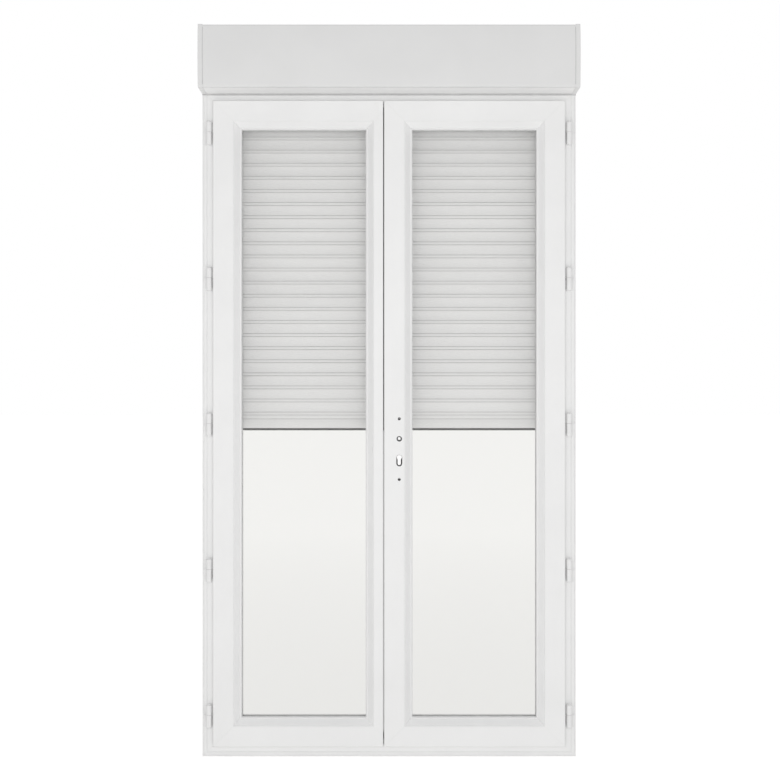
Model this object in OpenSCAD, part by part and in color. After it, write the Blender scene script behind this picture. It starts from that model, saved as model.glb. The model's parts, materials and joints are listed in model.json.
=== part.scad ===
// Two-leaf inward-opening french door in white PVC, with its frame and a built-on
// roller-shutter box. Millimetres; origin at the middle of the sill's underside,
// +X to the right seen from the room, +Y towards outdoors, +Z up.

/* [Outer frame] */
// Width of the outer frame
frame_w = 1205; // [1000:1:1500]
// Height of the outer frame
frame_h = 2150; // [1900:1:2400]
// Depth of the frame from its room face to its outdoor face
frame_d = 70; // [66:1:90]
// Place of the frame's room face
frame_front = -5; // [-20:1:5]
// Width of frame face that shows around the closed leaves
frame_face = 36; // [32:1:45]
// Width of the frame section at the rebate
rebate_w = 44; // [40:1:50]
// Width of the frame section at the outdoor stop
stop_w = 66; // [60:1:80]
// Thickness of the outdoor stop
stop_t = 14; // [10:1:20]
// Radius of the profiles' visible edges
profile_r = 2.5; // [1:0.5:3]
// Width of the fine grooves along the frame's room face
groove_w = 1.2; // [0.8:0.1:2]
// Depth of the fine grooves
groove_d = 0.8; // [0.4:0.1:1.5]
// Distance from the frame's edge to the first groove
groove_in = 5; // [4:0.5:8]
// Distance between the two grooves
groove_pitch = 10; // [6:0.5:12]
// Radius of the jamb fixing holes
fixing_r = 5; // [3:0.5:6]
// Height of the lower jamb fixing hole
fixing_z = 300; // [200:10:500]
// Distance between the two fixing holes of a jamb
fixing_pitch = 1550; // [1200:10:1600]

/* [Leaves] */
// Position of the meeting gap, measured from the middle of the frame
meet_x = -17.5; // [-40:0.5:0]
// Width of the meeting gap on the room side
meet_gap = 3; // [2.6:0.1:5]
// Depth of the sash section
sash_d = 70; // [66:1:80]
// How far the sash stands in front of the frame's room face
sash_proud = 17; // [15:1:20]
// Thickness of the overlap flange
flange_t = 14.5; // [12:0.5:14.5]
// How far the sash body stands back from the flange's edge
flange_lap = 20; // [18:1:24]
// How far the second leaf's body stands back at the meeting edge
meet_step = 5; // [4:0.5:7]
// How far the lock leaf's body stands back at the meeting edge
lock_step = 11.5; // [11:0.5:14]
// Flat width of the sash face
sash_flat = 66; // [60:1:80]
// Width of the glazing bead
bead_w = 24; // [20:1:28]
// Step from the sash face down to the bead
bead_step = 2; // [1:0.5:3]
// Depth of the bead's sloped face
bead_slope = 17; // [12:1:19]
// Thickness of the outdoor glazing leg of the sash
leg_t = 13; // [10:1:16]
// Fall of the leg's outdoor edge, which sheds the rain
leg_fall = 6; // [3:0.5:10]
// Free gap between a sash and the frame gasket
seal_gap = 0.3; // [0.2:0.1:1]

/* [Glazing] */
// Thickness of each pane
pane_t = 4; // [3:0.5:6]
// Width of the space between the panes
cavity_t = 16; // [12:1:20]
// Thickness of each glazing gasket
glazing_gasket_t = 3; // [2:0.5:4]
// Clear edge between pane and sash
pane_clear = 6; // [4:0.5:8]
// Width of the spacer bar
spacer_w = 12; // [8:1:14]
// How far a glazing gasket shows past the bead
gasket_lip = 1.5; // [0.5:0.5:3]

/* [Hinges] */
// Number of hinges on each leaf
hinge_count = 5; // [3:1:6]
// Height of the lowest hinge's centre
hinge_z = 132; // [120:1:200]
// Distance from the frame's top down to the highest hinge's centre
hinge_top = 141; // [120:1:200]
// Height of one hinge
hinge_h = 72; // [60:1:90]
// Height of the leaf's knuckle
leaf_knuckle_h = 31; // [24:1:36]
// Radius of the knuckles
knuckle_r = 8.5; // [7.5:0.1:9]
// Radius of the hinge pins
pin_r = 4; // [3:0.1:5]
// Distance from the flange's edge to the hinge axis
axis_out = 13.5; // [13:0.5:16]
// Distance of the hinge axis in front of the frame's room face
axis_proud = 10; // [9.5:0.5:12]
// Thickness of the washer between two knuckles
washer_t = 1; // [0.6:0.1:2]
// Thickness of the wing on the frame
wing_t = 3; // [2:0.5:4]
// Reach of the wing past the hinge axis
wing_w = 18; // [14:1:20]

/* [Lock] */
// Height of the lock follower
lock_z = 1026; // [950:1:1150]
// Distance from the lock leaf's meeting edge to the follower
lock_x = 48.7; // [46:0.1:50]
// Distance from the follower down to the cylinder hole
cylinder_drop = 70; // [66:1:80]
// Distance between the two handle screws
screw_pitch = 195; // [180:1:220]
// Distance from the follower up to the upper handle screw
screw_rise = 64.5; // [60:0.5:70]
// Radius of the handle screw holes
screw_r = 4.7; // [3:0.1:5]
// Width across the follower's square hole
spindle_w = 8; // [7:0.5:9]
// Radius of the follower's hub
hub_r = 8; // [7:0.1:8.2]
// Tooth module of follower and racks
tooth_m = 1.5; // [1.2:0.1:1.6]
// Number of teeth of a full follower
tooth_n = 14; // [12:1:14]
// Play between meshed teeth
tooth_play = 0.6; // [0.4:0.1:0.8]
// Thickness of a drive rod
rod_t = 8; // [6:0.5:8]
// Width of a drive rod
rod_w = 10; // [8:0.5:12]
// How far a withdrawn rod or bolt stands back in the leaf
rod_back = 6; // [4:0.5:8]
// Radius of a flush bolt
bolt_r = 5; // [4:0.5:6]
// Length of a flush bolt
bolt_len = 220; // [150:10:300]
// Travel of a flush bolt
bolt_travel = 16; // [12:1:18]
// Thickness of the keeps' screw lugs
keep_t = 2; // [1.5:0.5:3]
// Length of the keeps' screw lugs
keep_lug = 14; // [12:1:20]
// Gap between a keep and the closed leaf
keep_clear = 2; // [1:0.5:3]

/* [Shutter box] */
// Height of the box
box_h = 200; // [190:1:260]
// Depth of the box
box_d = 240; // [230:1:300]
// How far the box reaches out past the guide rails
rear_out = 25; // [18:1:40]
// Bow of the box's front
box_bow = 5; // [2:0.5:8]
// How far the frame's head reaches up into the box
box_lap = 13; // [8:1:20]
// Width of an end cap
cap_w = 14; // [10:1:20]
// Thickness of the panels
panel_t = 10; // [6:1:12]
// Step from the end caps down to the panels
panel_step = 3; // [1:0.5:5]
// Radius of the box's long edges
edge_r = 6; // [3:0.5:9]

/* [Shutter] */
// Height of one slat
slat_h = 43; // [37:1:55]
// Thickness of a slat
slat_t = 9; // [8:0.5:10]
// Number of slats wound on the tube
slat_count = 27; // [20:1:28]
// Height of the curtain's lower edge
curtain_z = 1053; // [1000:1:1070]
// Height of the bottom bar
bar_h = 27; // [20:1:40]
// Height of the rubber seal under the bottom bar
bar_seal_h = 5; // [3:1:10]
// Distance from the frame to the middle of the curtain
curtain_out = 15; // [14:0.5:18]
// Depth of a guide rail
rail_d = 30; // [30:1:36]
// Width of a guide rail
rail_w = 53; // [45:1:60]
// Width across the flats of the winding tube
tube_w = 60; // [50:1:70]
// Wall of the winding tube
tube_wall = 1; // [0.8:0.1:2]
// Turns of slats on the tube
roll_turns = 3; // [2:0.5:3]
// Radius of the motor
motor_r = 22.5; // [18:0.5:24]
// Length of the motor
motor_len = 560; // [400:10:700]
// Width of the mounting plates of motor and bearing
plate_w = 70; // [60:1:80]
// Length of the idler in the tube
idler_len = 68; // [50:1:100]

/* [Hidden] */
$fn = 48;
eps = 0.01;
running = 0.05;
free_gap = 0.3;

// Colours
white_pvc = "#f2f2f0";
pale_grey = "#c9cac8";
black_rubber = "#222222";
steel = "#b9bcc0";
glass_tint = [0.85, 0.93, 0.92, 0.35];
shutter_grey = "#e4e6e4";

// Places that follow from the driving sizes; a rectangle is [left, right, bottom, top]
left = -1;
right = 1;
frame_back = frame_front + frame_d;
stop_front = frame_back - stop_t;
frame_rect = [-frame_w / 2, frame_w / 2, 0, frame_h];
flange_half = frame_w / 2 - frame_face;
sash_front = frame_front - sash_proud;
sash_back = sash_front + sash_d;
flange_back = sash_front + flange_t;
sash_face = sash_flat + bead_w;
sight_meet = meet_x + meet_gap / 2 + sash_face;
leg_front = sash_back - leg_t;
bead_front = sash_front + bead_step;
pane_front = leg_front - glazing_gasket_t - 2 * pane_t - cavity_t;
bead_back = pane_front - glazing_gasket_t;
axis_x = flange_half + axis_out;
axis_y = frame_front - axis_proud;
hinge_pitch = (frame_h - hinge_top - hinge_z) / (hinge_count - 1);
lock_forward = 0.75;
mid_y = (flange_back + leg_front) / 2 - lock_forward;

function grow(r, d) = [r[0] - d, r[1] + d, r[2] - d, r[3] + d];
function flange_rect(s) = [
  s < 0 ? -flange_half : meet_x + meet_gap / 2,
  s < 0 ? meet_x - meet_gap / 2 : flange_half,
  frame_face,
  frame_h - frame_face
];
function body_rect(s) = let (f = flange_rect(s)) [
  f[0] + (s < 0 ? flange_lap : lock_step),
  f[1] - (s < 0 ? meet_step : flange_lap),
  f[2] + flange_lap,
  f[3] - flange_lap
];
function sight_rect(s) = [
  s < 0 ? -flange_half + sash_face : sight_meet,
  s < 0 ? -sight_meet : flange_half - sash_face,
  frame_face + sash_face,
  frame_h - frame_face - sash_face
];
function full_rect(s) = grow(sight_rect(s), sash_face);
function arc(c, r, from, to, n = 8) =
  [for (i = [0 : n]) c + r * [cos(from + (to - from) * i / n), sin(from + (to - from) * i / n)]];

// Flat outline in the X-Z plane, given thickness from y0 to y1
module upright(y0, y1) {
  translate([0, y1, 0]) rotate([90, 0, 0]) linear_extrude(y1 - y0) children();
}

// Outline in the Y-Z plane, run along X from x0 to x1
module run_x(x0, x1) {
  translate([x0, 0, 0]) rotate([90, 0, 90]) linear_extrude(x1 - x0) children();
}

// Outline in the X-Y plane, run along Z from z0 to z1
module run_z(z0, z1) {
  translate([0, 0, z0]) linear_extrude(z1 - z0) children();
}

module rect(r) {
  translate([r[0], r[2]]) square([r[1] - r[0], r[3] - r[2]]);
}

// Rectangular ring between two rectangles
module ring(outer, inner, y0, y1) {
  upright(y0, y1) difference() {
    rect(outer);
    rect(inner);
  }
}

// Bar along X with mitred ends; its outline has Y across and Z from the outer edge inwards
module mitred_bar(len, w) {
  intersection() {
    run_x(-len / 2 - 1, len / 2 + 1) children();
    upright(sash_front - 1, frame_back + 1)
      polygon([[-len / 2 - 1, -1], [len / 2 + 1, -1], [len / 2 - w - 1, w + 1],
        [-len / 2 + w + 1, w + 1]]);
  }
}

// The two upright bars of a mitred frame
module side_bars(r, w) {
  len = r[3] - r[2];
  mid_z = (r[2] + r[3]) / 2;
  translate([r[0], 0, mid_z]) rotate([0, 90, 0]) mitred_bar(len, w) children();
  translate([r[1], 0, mid_z]) rotate([0, -90, 0]) mitred_bar(len, w) children();
}

// The lower and the upper bar of a mitred frame
module end_bars(r, w) {
  len = r[1] - r[0];
  mid_x = (r[0] + r[1]) / 2;
  translate([mid_x, 0, r[2]]) mitred_bar(len, w) children();
  translate([mid_x, 0, r[3]]) rotate([0, 180, 0]) mitred_bar(len, w) children();
}

// Round bar along Y
module bar_y(x, z, r, y0, y1) {
  translate([x, y1, z]) rotate([90, 0, 0]) cylinder(r = r, h = y1 - y0);
}

// Round bar along X
module bar_x(y, z, r, x0, x1) {
  translate([x0, y, z]) rotate([0, 90, 0]) cylinder(r = r, h = x1 - x0);
}

// Outer frame
stop_r = 2;

function groove(y, w) = [
  [y, w - groove_w / 2],
  [y + groove_d, w - groove_w / 2],
  [y + groove_d, w + groove_w / 2],
  [y, w + groove_w / 2]
];

module frame_section() {
  polygon(concat(
    [[frame_back, 0]],
    arc([frame_front + profile_r, profile_r], profile_r, 270, 180, 4),
    groove(frame_front, groove_in),
    groove(frame_front, groove_in + groove_pitch),
    arc([frame_front + profile_r, rebate_w - profile_r], profile_r, 180, 90, 4),
    [[stop_front, rebate_w]],
    arc([stop_front + stop_r, stop_w - stop_r], stop_r, 180, 90, 4),
    arc([frame_back - stop_r, stop_w - stop_r], stop_r, 90, 0, 4)
  ));
}

module frame_jambs() {
  color(white_pvc) difference() {
    side_bars(frame_rect, stop_w) frame_section();
    for (s = [left, right], i = [0, 1])
      bar_x((frame_front + stop_front) / 2, fixing_z + i * fixing_pitch, fixing_r,
        s * (frame_w / 2 - rebate_w / 2) - rebate_w / 2 - 1,
        s * (frame_w / 2 - rebate_w / 2) + rebate_w / 2 + 1);
  }
}

module frame_head_and_sill() {
  color(white_pvc) end_bars(frame_rect, stop_w) frame_section();
}

module frame_gasket() {
  lip_in = 2;
  color(pale_grey)
    ring(grow(frame_rect, -frame_face - flange_lap - lip_in), grow(frame_rect, lip_in - stop_w),
      sash_back + seal_gap, stop_front);
}

// Keeps for the rods and bolts, in the gap between frame and leaves
faceplate_t = 3;
rod_behind = 2;
rod_x = body_rect(right)[0] + faceplate_t + rod_behind;
rod_y0 = mid_y - rod_w / 2;
bolt_in = 13;
bolt_x = body_rect(left)[1] - bolt_in;
keep_gap = frame_face + flange_lap - rebate_w;
keep_half_y = 13;
keep_wall = 8;
keep_screw_r = 2.5;
slot_room = 1;

module keep_slots() {
  translate([rod_x - slot_room, rod_y0 - slot_room, -1])
    cube([rod_t + 2 * slot_room, rod_w + 2 * slot_room, keep_gap + 1]);
  translate([bolt_x - bolt_r - slot_room, mid_y - bolt_r - slot_room, -1])
    cube([2 * bolt_r + 2 * slot_room, 2 * bolt_r + 2 * slot_room, keep_gap + 1]);
}

// One keep, standing on Z = 0
module keep_body() {
  x0 = bolt_x - bolt_r - keep_wall;
  x1 = rod_x + rod_t + keep_wall;
  color(steel) difference() {
    union() {
      translate([x0 - keep_lug, mid_y - keep_half_y, 0])
        cube([x1 - x0 + 2 * keep_lug, 2 * keep_half_y, keep_t]);
      translate([x0, mid_y - keep_half_y, 0])
        cube([x1 - x0, 2 * keep_half_y, keep_gap - keep_clear]);
    }
    keep_slots();
    for (x = [x0 - keep_lug / 2, x1 + keep_lug / 2])
      translate([x, mid_y, -1]) cylinder(r = keep_screw_r, h = keep_t + 2);
  }
}

module top_keep_plate() {
  translate([0, 0, frame_h - rebate_w]) mirror([0, 0, 1]) keep_body();
}

module bottom_keep_plate() {
  translate([0, 0, rebate_w]) keep_body();
}

// Leaves
cylinder_r = 9.4;
cylinder_half = 9;
hub_room = 0.6;

module lock_cuts() {
  body = body_rect(right);
  cyl_z = lock_z - cylinder_drop;
  for (dz = [screw_rise, screw_rise - screw_pitch])
    bar_y(follower_x, lock_z + dz, screw_r, sash_front - 1, sash_back + 1);
  bar_y(follower_x, lock_z, hub_r + hub_room, sash_front - 1, sash_back + 1);
  for (dz = [-cylinder_half, cylinder_half])
    bar_y(follower_x, cyl_z + dz, cylinder_r, sash_front - 1, sash_back + 1);
  translate([follower_x - cylinder_r, sash_front - 1, cyl_z - cylinder_half])
    cube([2 * cylinder_r, sash_d + 2, 2 * cylinder_half]);
  translate([body[0] - 1, case_y[0] - free_gap, case_z[0] - free_gap])
    cube([case_x[1] + free_gap - body[0] + 1, case_y[1] - case_y[0] + 2 * free_gap,
      case_z[1] - case_z[0] + 2 * free_gap]);
  translate([body[0] + faceplate_t, rod_y0 - free_gap, body[2] - 1])
    cube([rod_x + rod_t + free_gap - body[0] - faceplate_t, rod_w + 2 * free_gap,
      body[3] - body[2] + 2]);
  translate([body[0] - 1, mid_y - faceplate_half, body[2] - 1])
    cube([1 + faceplate_t, 2 * faceplate_half, body[3] - body[2] + 2]);
}

// Bores for the two flush bolts and slots for their finger tabs
tab_w = 4;
tab_h = 20;
tab_in = 160;

module bolt_cuts() {
  body = body_rect(left);
  for (end = [0, 1]) {
    z0 = end == 0 ? body[2] - 1 : body[3] - bolt_len - bolt_travel;
    tab_z = end == 0 ? body[2] + tab_in - bolt_travel : body[3] - tab_in - tab_h;
    translate([bolt_x, mid_y, z0]) cylinder(r = bolt_r + running, h = bolt_len + bolt_travel + 1);
    translate([bolt_x, mid_y - tab_w / 2 - free_gap, tab_z - free_gap])
      cube([body[1] - bolt_x + 1, tab_w + 2 * free_gap, tab_h + bolt_travel + 2 * free_gap]);
  }
}

// Trims the second leaf's full profile back at the meeting edge
module meeting_cut() {
  edge = flange_rect(left)[1];
  step = body_rect(left)[1];
  far = full_rect(left)[1] + 1;
  run_z(frame_face - 1, frame_h - frame_face + 1) polygon(concat(
    [[far, sash_front - 1], [edge - profile_r, sash_front - 1]],
    arc([edge - profile_r, sash_front + profile_r], profile_r, 270, 360, 4),
    [[edge, flange_back], [step, flange_back], [step, sash_back + 1], [far, sash_back + 1]]
  ));
}

// Fills the lock leaf's profile out towards the meeting edge, for the rods and the faceplate
module lock_edge() {
  body = body_rect(right);
  translate([body[0], flange_back, body[2]])
    cube([flange_lap - lock_step, sash_back - flange_back, body[3] - body[2]]);
}

module sash_section() {
  inner_r = 1;
  polygon(concat(
    [[flange_back, 0]],
    arc([sash_front + profile_r, profile_r], profile_r, 270, 180, 4),
    arc([sash_front + inner_r, sash_flat - inner_r], inner_r, 180, 90, 3),
    [[leg_front, sash_flat], [leg_front, sash_face], [leg_front + leg_t / 3, sash_face],
     [sash_back, sash_face - leg_fall], [sash_back, flange_lap], [flange_back, flange_lap]]
  ));
}

module sash_stiles(s) {
  color(white_pvc) difference() {
    union() {
      side_bars(full_rect(s), sash_face) sash_section();
      if (s > 0) lock_edge();
    }
    if (s > 0) lock_cuts();
    else {
      meeting_cut();
      bolt_cuts();
    }
  }
}

module sash_rails(s) {
  color(white_pvc) difference() {
    end_bars(full_rect(s), sash_face) sash_section();
    if (s > 0) lock_cuts();
    else {
      meeting_cut();
      bolt_cuts();
    }
  }
}

// Section of a glazing bead: Y across, Z from its seat on the sash to the sightline
module bead_section() {
  nose = 3;
  brow = 2;
  polygon(concat(
    [[bead_back, bead_w], [bead_back, 0], [bead_front, 0], [bead_front, brow]],
    arc([bead_front + bead_slope + nose, bead_w - nose], nose, 225, 90, 5)
  ));
}

module side_beads(s) {
  color(white_pvc) side_bars(grow(sight_rect(s), bead_w), bead_w) bead_section();
}

module end_beads(s) {
  color(white_pvc) end_bars(grow(sight_rect(s), bead_w), bead_w) bead_section();
}

module pane(s, y) {
  color(glass_tint) upright(y, y + pane_t) rect(grow(sight_rect(s), bead_w - pane_clear));
}

module inner_pane(s) {
  pane(s, pane_front);
}

module outer_pane(s) {
  pane(s, pane_front + pane_t + cavity_t);
}

module spacer_bar(s) {
  edge = grow(sight_rect(s), bead_w - pane_clear);
  color(steel) ring(edge, grow(edge, -spacer_w), pane_front + pane_t, pane_front + pane_t + cavity_t);
}

module glazing_gasket(s, y) {
  color(pale_grey)
    ring(grow(sight_rect(s), bead_w / 2), grow(sight_rect(s), -gasket_lip), y, y + glazing_gasket_t);
}

module inner_glazing_gasket(s) {
  glazing_gasket(s, bead_back);
}

module outer_glazing_gasket(s) {
  glazing_gasket(s, leg_front - glazing_gasket_t);
}

module sash_gasket(s) {
  gasket_in = 1;
  gasket_w = 3.8;
  color(pale_grey)
    ring(grow(flange_rect(s), -gasket_in), grow(flange_rect(s), -gasket_in - gasket_w),
      flange_back, frame_front - seal_gap);
}

// Lip seal on the body's meeting edge; its tip stays behind the meeting gap
seal_apart = 1;
seal_root = 10;
seal_tip = 3;

module meeting_seal(s) {
  body = body_rect(s);
  tip = meet_x + s * seal_apart / 2;
  root = s < 0 ? body[1] : body[0];
  y0 = frame_front + 1;
  color(black_rubber) run_z(body[2], body[3])
    polygon([[root, y0], [root, y0 + seal_root], [tip, y0 + (seal_root + seal_tip) / 2],
      [tip, y0 + (seal_root - seal_tip) / 2]]);
}

// Hinges
function hinge_low(i) = hinge_z - hinge_h / 2 + i * hinge_pitch;
frame_knuckle_h = hinge_h - leaf_knuckle_h - washer_t;
lug_front = axis_y + 1;
wing_in = 3;

module each_hinge(s) {
  for (i = [0 : hinge_count - 1]) translate([s * axis_x, axis_y, hinge_low(i)]) children();
}

module leaf_knuckles(s) {
  color(white_pvc) each_hinge(s) translate([0, 0, frame_knuckle_h + washer_t]) difference() {
    union() {
      cylinder(r = knuckle_r, h = leaf_knuckle_h);
      translate([s < 0 ? 0 : -axis_out, lug_front - axis_y, 0])
        cube([axis_out, flange_back - lug_front, leaf_knuckle_h]);
    }
    translate([0, 0, -1]) cylinder(r = pin_r + running, h = leaf_knuckle_h + 2);
  }
}

module frame_knuckles(s) {
  color(white_pvc) each_hinge(s) difference() {
    union() {
      cylinder(r = knuckle_r, h = frame_knuckle_h);
      translate([s < 0 ? -wing_w : -wing_in, axis_proud - wing_t, 0])
        cube([wing_w + wing_in, wing_t, frame_knuckle_h]);
      translate([-knuckle_r / 2, 0, 0]) cube([knuckle_r, axis_proud, frame_knuckle_h]);
    }
    translate([0, 0, -1]) cylinder(r = pin_r, h = frame_knuckle_h + 2);
  }
}

module hinge_washers(s) {
  color(pale_grey) each_hinge(s) translate([0, 0, frame_knuckle_h]) difference() {
    cylinder(r = knuckle_r - 1, h = washer_t - running);
    translate([0, 0, -1]) cylinder(r = pin_r, h = washer_t + 2);
  }
}

module hinge_pins(s) {
  cap_h = 3;
  cap_in = 0.5;
  cap_chamfer = 1.5;
  color(white_pvc) each_hinge(s) {
    cylinder(r = pin_r, h = hinge_h + cap_h);
    translate([0, 0, hinge_h + free_gap])
      cylinder(r1 = knuckle_r - cap_in, r2 = knuckle_r - cap_in - cap_chamfer, h = cap_h - free_gap);
  }
}

// Lock
faceplate_half = 9;
faceplate_end = 20;
fit_gap = 0.1;
case_wall = 1.5;
case_half_y = 8;
case_above = 36;
case_below = 26;
rack_t = 1.8;
pitch_r = tooth_m * tooth_n / 2;
tooth_root = 1.25 * tooth_m;
rod_travel = pitch_r * PI / 2;
layer_gap = 0.6;
follower_x = flange_rect(right)[0] + lock_x;
case_x = [rod_x + rod_t + rod_behind,
  follower_x + pitch_r + tooth_root + rack_t + free_gap + case_wall];
case_y = [mid_y - case_half_y, mid_y + case_half_y];
inner_y = [case_y[0] + case_wall + free_gap, case_y[1] - case_wall - free_gap];
case_z = [lock_z - cylinder_drop - case_below, lock_z + case_above];
key_r = 8.7;
key_rise = 7.8;
key_slot_r = 5.2;
key_fall = 11.3;

module lock_case() {
  cyl_z = lock_z - cylinder_drop;
  color(steel) difference() {
    translate([case_x[0], case_y[0], case_z[0]])
      cube([case_x[1] - case_x[0], case_y[1] - case_y[0], case_z[1] - case_z[0]]);
    translate([case_x[0] - 1, case_y[0] + case_wall, case_z[0] + case_wall])
      cube([case_x[1] - case_x[0] + 1 - case_wall, case_y[1] - case_y[0] - 2 * case_wall,
        case_z[1] - case_z[0] - 2 * case_wall]);
    bar_y(follower_x, lock_z, hub_r + running, case_y[0] - 1, case_y[1] + 1);
    bar_y(follower_x, cyl_z + key_rise, key_r, case_y[0] - 1, case_y[1] + 1);
    bar_y(follower_x, cyl_z - key_fall, key_slot_r, case_y[0] - 1, case_y[1] + 1);
    translate([follower_x - key_slot_r, case_y[0] - 1, cyl_z - key_fall])
      cube([2 * key_slot_r, case_y[1] - case_y[0] + 2, key_fall + key_rise]);
  }
}

module lock_faceplate() {
  body = body_rect(right);
  color(steel) translate([body[0], mid_y - faceplate_half + fit_gap, body[2] + faceplate_end])
    cube([faceplate_t, 2 * faceplate_half - 2 * fit_gap, body[3] - body[2] - 2 * faceplate_end]);
}

// One tooth pointing along +X, its pitch line on X = 0
module tooth(play) {
  half = PI * tooth_m / 4 - play / 2;
  lean = tooth_m * tan(20);
  foot = tooth_root * tan(20);
  polygon([[-tooth_root, -half - foot], [tooth_m, -half + lean],
    [tooth_m, half - lean], [-tooth_root, half + foot]]);
}

module follower_outline() {
  circle(r = pitch_r - 1.2 * tooth_m);
  for (i = [0 : tooth_n - 1]) rotate(360 / tooth_n * i) translate([pitch_r, 0]) tooth(tooth_play);
}

module lock_follower() {
  color(steel) difference() {
    union() {
      translate([follower_x, 0, lock_z]) upright(inner_y[0], inner_y[1]) follower_outline();
      bar_y(follower_x, lock_z, hub_r, case_y[0], case_y[1]);
    }
    translate([follower_x - spindle_w / 2, case_y[0] - 1, lock_z - spindle_w / 2])
      cube([spindle_w, case_y[1] - case_y[0] + 2, spindle_w]);
  }
}

// Straight rack along Z, its teeth pointing to +X with the pitch line on X = 0
module rack_outline(z0, z1) {
  step = PI * tooth_m;
  last = ceil(max(-z0, z1) / step);
  translate([-tooth_root - rack_t, z0]) square([rack_t + eps, z1 - z0]);
  intersection() {
    translate([-tooth_root, z0]) square([3 * tooth_m, z1 - z0]);
    for (k = [-last : last]) translate([0, (k + 0.5) * step]) tooth(tooth_play);
  }
}

arm_h = 9;
rack_low = -28;
rack_tail = -32;

module upper_drive_rod() {
  top = body_rect(right)[3] - rod_back;
  rack_top = case_above - case_wall - 1 - rod_travel;
  rack_back = follower_x - pitch_r - tooth_root - rack_t;
  color(steel) {
    translate([rod_x, rod_y0, lock_z + rack_top - arm_h])
      cube([rod_t, rod_w, top - lock_z - rack_top + arm_h]);
    translate([rod_x, mid_y + layer_gap / 2, lock_z + rack_top - arm_h])
      cube([rack_back + 1 - rod_x, inner_y[1] - mid_y - layer_gap / 2, arm_h]);
    translate([follower_x - pitch_r, 0, lock_z])
      upright(mid_y + layer_gap / 2, inner_y[1]) rack_outline(rack_tail, rack_top);
  }
}

module lower_drive_rod() {
  bottom = body_rect(right)[2] + rod_back;
  rack_back = follower_x + pitch_r + tooth_root + rack_t;
  color(steel) {
    translate([rod_x, rod_y0, bottom]) cube([rod_t, rod_w, lock_z + rack_low + arm_h - bottom]);
    translate([rod_x, inner_y[0], lock_z + rack_low])
      cube([rack_back - rod_x, mid_y - layer_gap / 2 - inner_y[0], arm_h]);
    translate([follower_x + pitch_r, 0, lock_z])
      upright(inner_y[0], mid_y - layer_gap / 2) mirror([1, 0]) rack_outline(rack_low, -rack_low);
  }
}

// Flush bolts of the second leaf
module flush_bolt(low_z, tab_z) {
  tab_end = body_rect(left)[1] - 1;
  color(steel) {
    translate([bolt_x, mid_y, low_z]) cylinder(r = bolt_r, h = bolt_len);
    translate([bolt_x, mid_y - tab_w / 2, tab_z]) cube([tab_end - bolt_x, tab_w, tab_h]);
  }
}

module top_flush_bolt() {
  top = body_rect(left)[3];
  flush_bolt(top - rod_back - bolt_len, top - tab_in - tab_h);
}

module bottom_flush_bolt() {
  low = body_rect(left)[2];
  flush_bolt(low + rod_back, low + tab_in);
}

// Shutter box
box_low = frame_h - box_lap;
box_top = box_low + box_h;
box_back = frame_back + rail_d + rear_out;
box_front = box_back - box_d;
inside_x = frame_w / 2 - cap_w;
curtain_y = frame_back + curtain_out;

// Points between a high end and a low one on a line that stands out by bow to -Y
function bowed(y, z0, z1, bow) = let (
  half = (z0 - z1) / 2,
  r = (half * half + bow * bow) / (2 * bow),
  a = asin(half / r),
  n = 16,
  line = arc([y - bow + r, (z0 + z1) / 2], r, 180 - a, 180 + a, n)
) [for (i = [1 : n - 1]) line[i]];

module end_cap_outline() {
  difference() {
    polygon(concat(
      bowed(box_front + box_bow, box_top - edge_r, box_low + edge_r, box_bow),
      arc([box_front + box_bow + edge_r, box_low + edge_r], edge_r, 180, 270),
      arc([box_back - edge_r, box_low + edge_r], edge_r, 270, 360),
      arc([box_back - edge_r, box_top - edge_r], edge_r, 0, 90),
      arc([box_front + box_bow + edge_r, box_top - edge_r], edge_r, 90, 180)
    ));
    translate([frame_front, box_low - 1]) square([frame_d, box_lap + 1]);
  }
}

module box_left_end_cap() {
  color(white_pvc) run_x(-frame_w / 2, -inside_x) end_cap_outline();
}

module box_right_end_cap() {
  color(white_pvc) run_x(inside_x, frame_w / 2) end_cap_outline();
}

cap_proud = 1;
panel_lip = 6;
panel_r = 2;
panel_front = box_front + box_bow + cap_proud;
panel_back = box_back - cap_proud;
panel_top = box_top - panel_step;
panel_low = box_low + cap_proud;

module box_front_panel() {
  inner = panel_front + panel_t;
  color(white_pvc) run_x(-inside_x, inside_x) polygon(concat(
    bowed(panel_front, panel_top - panel_r, panel_low + edge_r, box_bow),
    arc([panel_front + edge_r, panel_low + edge_r], edge_r, 180, 270),
    [[inner + panel_lip, panel_low], [inner + panel_lip, panel_low + panel_t],
     [inner, panel_low + panel_t], [inner, panel_top]],
    arc([panel_front + panel_r, panel_top - panel_r], panel_r, 90, 180, 4)
  ));
}

module box_top_panel() {
  color(white_pvc) run_x(-inside_x, inside_x)
    translate([panel_front + panel_t, panel_top - panel_t])
      square([panel_back - panel_front - 2 * panel_t, panel_t]);
}

// Outdoor panel with the lip that closes the box behind the curtain
module box_rear_panel() {
  inner = panel_back - panel_t;
  lip_front = frame_back + rail_d + cap_proud;
  color(white_pvc) run_x(-inside_x, inside_x) polygon(concat(
    [[inner, panel_top], [inner, panel_low + panel_t], [lip_front, panel_low + panel_t],
     [lip_front, panel_low]],
    arc([panel_back - edge_r, panel_low + edge_r], edge_r, 270, 360),
    arc([panel_back - panel_r, panel_top - panel_r], panel_r, 0, 90, 4)
  ));
}

module box_underside_cover() {
  start = panel_front + panel_t + panel_lip;
  color(white_pvc) run_x(-inside_x, inside_x)
    translate([start, panel_low]) square([frame_front - free_gap - start, panel_t]);
}

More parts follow.
